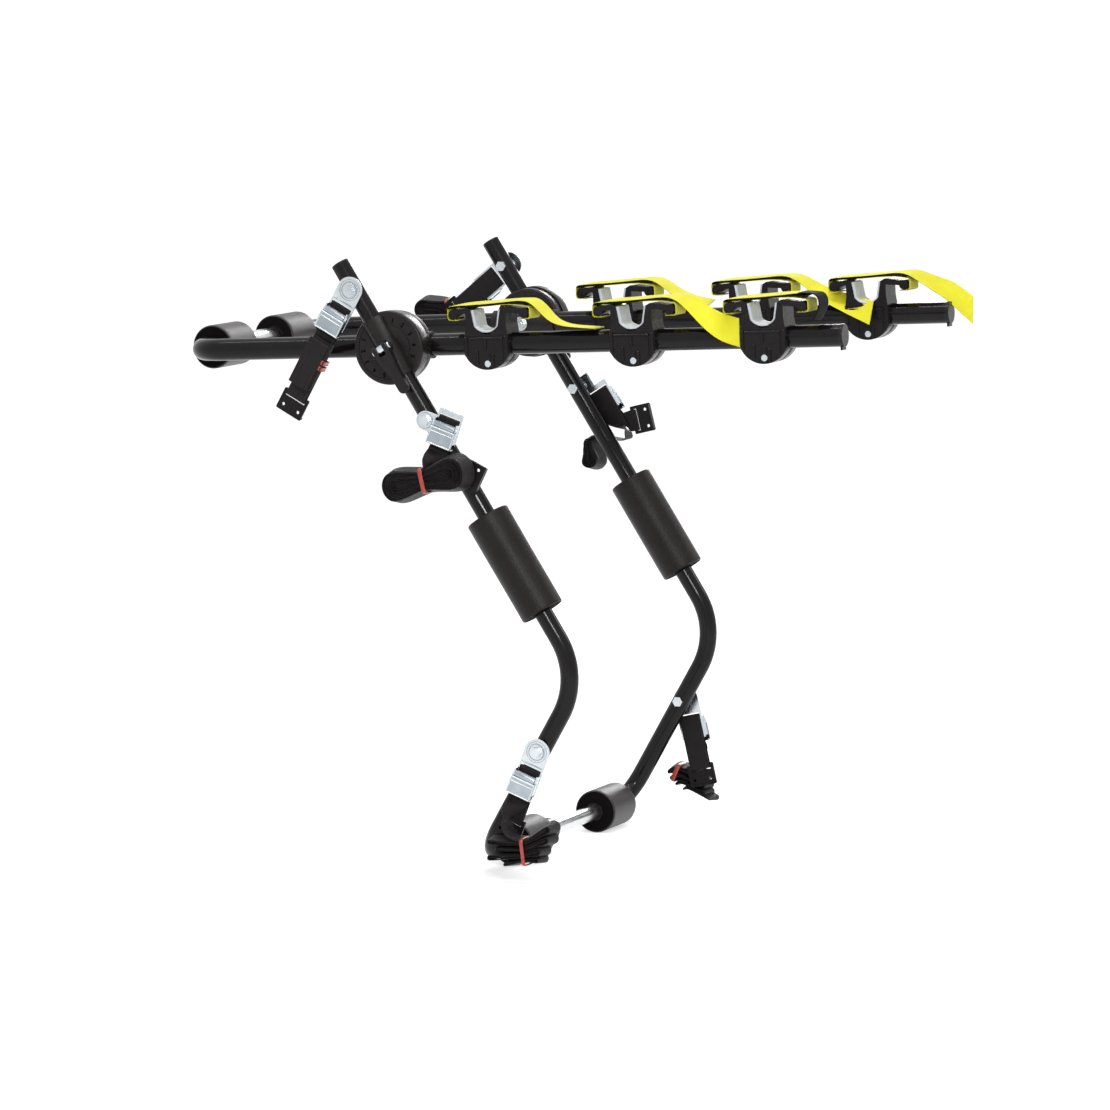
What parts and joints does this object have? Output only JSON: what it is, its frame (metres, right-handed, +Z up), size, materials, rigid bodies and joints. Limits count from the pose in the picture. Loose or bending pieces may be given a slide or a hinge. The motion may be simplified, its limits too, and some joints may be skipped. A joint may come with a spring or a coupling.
{
  "type": "boot-mounted bicycle rack",
  "caption": "Folding bicycle rack that straps to the back of a car, with padded cradles on two arms, foam rollers, toothed hubs and cam-buckle straps.",
  "frame": {"origin": "the middle of the hub axis, about which both arms fold", "axes": "+X runs across the car, +Y points to the car, against the arms' free ends, and +Z is up"},
  "size_m": [0.636, 1.0059, 0.8284],
  "materials": {
    "tube_black": "gloss black powder coat",
    "zinc": "bright zinc",
    "hook_black": "satin black",
    "foam": "matt closed-cell foam",
    "hub_plastic": "fine-grained satin black",
    "lever_plastic": "satin black",
    "cradle_plastic": "satin black",
    "saddle_rubber": "soft light grey",
    "webbing": "woven black polypropylene",
    "yellow_strap": "lemon yellow loop face, black back"
  },
  "bodies": {
    "right_frame": {"right_leg_tube": "tube_black", "lower_spreader_tube": "zinc", "right_leg_plug": "hub_plastic", "right_leg_pad": "foam", "right_lower_roller": "foam", "right_hub_leg_shell": "hub_plastic", "right_hub_axle": "zinc", "right_strap_bolts": "zinc"},
    "left_frame": {"left_leg_tube": "tube_black", "left_leg_plug": "hub_plastic", "left_leg_pad": "foam", "left_lower_roller": "foam", "left_hub_leg_shell": "hub_plastic", "left_hub_axle": "zinc", "left_strap_bolts": "zinc"},
    "collar": {"lower_collar": "hub_plastic"},
    "right_arm": {"right_arm_tube": "tube_black", "right_arm_plug": "hub_plastic", "right_upper_roller": "foam", "right_hub_arm_shell": "hub_plastic", "right_cradle_bodies": "cradle_plastic", "right_cradle_pads": "saddle_rubber", "right_cradle_straps": "yellow_strap", "right_cradle_screws": "zinc", "upper_spreader_tube": "zinc"},
    "right_lever": {"right_hub_lever": "lever_plastic"},
    "right_top_strap": {"right_top_buckle": "zinc", "right_top_webbing": "webbing", "right_top_hook": "hook_black"},
    "right_top_cam_lever": {"right_top_cam": "zinc"},
    "right_mid_strap": {"right_mid_buckle": "zinc", "right_mid_webbing": "webbing", "right_mid_hook": "hook_black"},
    "right_mid_cam_lever": {"right_mid_cam": "zinc"},
    "right_low_strap": {"right_low_buckle": "zinc", "right_low_webbing": "webbing", "right_low_hook": "hook_black"},
    "right_low_cam_lever": {"right_low_cam": "zinc"},
    "left_arm": {"left_arm_tube": "tube_black", "left_arm_plug": "hub_plastic", "left_upper_roller": "foam", "left_hub_arm_shell": "hub_plastic", "left_cradle_bodies": "cradle_plastic", "left_cradle_pads": "saddle_rubber", "left_cradle_straps": "yellow_strap", "left_cradle_screws": "zinc"},
    "left_lever": {"left_hub_lever": "lever_plastic"},
    "left_top_strap": {"left_top_buckle": "zinc", "left_top_webbing": "webbing", "left_top_hook": "hook_black"},
    "left_top_cam_lever": {"left_top_cam": "zinc"},
    "left_mid_strap": {"left_mid_buckle": "zinc", "left_mid_webbing": "webbing", "left_mid_hook": "hook_black"},
    "left_mid_cam_lever": {"left_mid_cam": "zinc"},
    "left_low_strap": {"left_low_buckle": "zinc", "left_low_webbing": "webbing", "left_low_hook": "hook_black"},
    "left_low_cam_lever": {"left_low_cam": "zinc"}
  },
  "joints": [
    {"name": "width", "type": "slide", "parent": "right_frame", "child": "left_frame", "axis": [1, 0, 0], "range_m": [-0.035, 0.042]},
    {"name": "collar_twist", "type": "hinge", "parent": "left_frame", "child": "collar", "pos_m": [-0.047, -0.13937, -0.68001], "axis": [1, 0, 0], "range_deg": [0, 90]},
    {"name": "right_arm_fold", "type": "hinge", "parent": "right_frame", "child": "right_arm", "pos_m": [0.24, 0, 0], "axis": [-1, 0, 0], "range_deg": [-45, 105]},
    {"name": "left_arm_fold", "type": "hinge", "parent": "left_frame", "child": "left_arm", "pos_m": [-0.24, 0, 0], "axis": [-1, 0, 0], "range_deg": [-45, 105]},
    {"name": "right_lever_open", "type": "hinge", "parent": "right_frame", "child": "right_lever", "pos_m": [0.2887, 0, 0], "axis": [0, -0.8415, 0.5402], "range_deg": [0, 120]},
    {"name": "left_lever_open", "type": "hinge", "parent": "left_frame", "child": "left_lever", "pos_m": [-0.2887, 0, 0], "axis": [0, 0.8415, -0.5402], "range_deg": [0, 120]},
    {"name": "right_top_swing", "type": "hinge", "parent": "right_frame", "child": "right_top_strap", "pos_m": [0.28, 0.0497, 0.07742], "axis": [1, 0, 0], "range_deg": [-25, 70]},
    {"name": "right_top_cam_open", "type": "hinge", "parent": "right_top_strap", "child": "right_top_cam_lever", "pos_m": [0.2899, 0.07728, 0.05428], "axis": [0, -0.6428, -0.766], "range_deg": [0, 80], "stiffness_Nm_per_rad": 0.25, "springref_deg": -20.05},
    {"name": "right_mid_swing", "type": "hinge", "parent": "right_frame", "child": "right_mid_strap", "pos_m": [0.28, -0.06051, -0.09425], "axis": [1, 0, 0], "range_deg": [-20, 20]},
    {"name": "right_mid_cam_open", "type": "hinge", "parent": "right_mid_strap", "child": "right_mid_cam_lever", "pos_m": [0.2899, -0.09182, -0.10849], "axis": [0, -0.8387, 0.5446], "range_deg": [0, 80], "stiffness_Nm_per_rad": 0.25, "springref_deg": -20.05},
    {"name": "right_low_swing", "type": "hinge", "parent": "right_frame", "child": "right_low_strap", "pos_m": [0.28, -0.22109, -0.5338], "axis": [1, 0, 0], "range_deg": [-30, 60]},
    {"name": "right_low_cam_open", "type": "hinge", "parent": "right_low_strap", "child": "right_low_cam_lever", "pos_m": [0.2899, -0.22919, -0.56887], "axis": [0, -0.9744, 0.225], "range_deg": [0, 80], "stiffness_Nm_per_rad": 0.25, "springref_deg": -20.05},
    {"name": "left_top_swing", "type": "hinge", "parent": "left_frame", "child": "left_top_strap", "pos_m": [-0.28, 0.0497, 0.07742], "axis": [1, 0, 0], "range_deg": [-15, 90]},
    {"name": "left_top_cam_open", "type": "hinge", "parent": "left_top_strap", "child": "left_top_cam_lever", "pos_m": [-0.2899, 0.06688, 0.04578], "axis": [0, 0.8788, 0.4772], "range_deg": [0, 80], "stiffness_Nm_per_rad": 0.25, "springref_deg": -20.05},
    {"name": "left_mid_swing", "type": "hinge", "parent": "left_frame", "child": "left_mid_strap", "pos_m": [-0.28, -0.06051, -0.09425], "axis": [1, 0, 0], "range_deg": [-15, 30]},
    {"name": "left_mid_cam_open", "type": "hinge", "parent": "left_mid_strap", "child": "left_mid_cam_lever", "pos_m": [-0.2899, -0.09269, -0.10119], "axis": [0, 0.9466, 0.3223], "range_deg": [0, 80], "stiffness_Nm_per_rad": 0.25, "springref_deg": -20.05},
    {"name": "left_low_swing", "type": "hinge", "parent": "left_frame", "child": "left_low_strap", "pos_m": [-0.28, -0.22109, -0.5338], "axis": [1, 0, 0], "range_deg": [-40, 50]},
    {"name": "left_low_cam_open", "type": "hinge", "parent": "left_low_strap", "child": "left_low_cam_lever", "pos_m": [-0.2899, -0.20819, -0.5674], "axis": [0, 0.9336, 0.3584], "range_deg": [0, 80], "stiffness_Nm_per_rad": 0.25, "springref_deg": -20.05}
  ],
  "couplings": [
    {"joint": "left_arm_fold", "follows": "right_arm_fold", "ratio": 1}
  ]
}
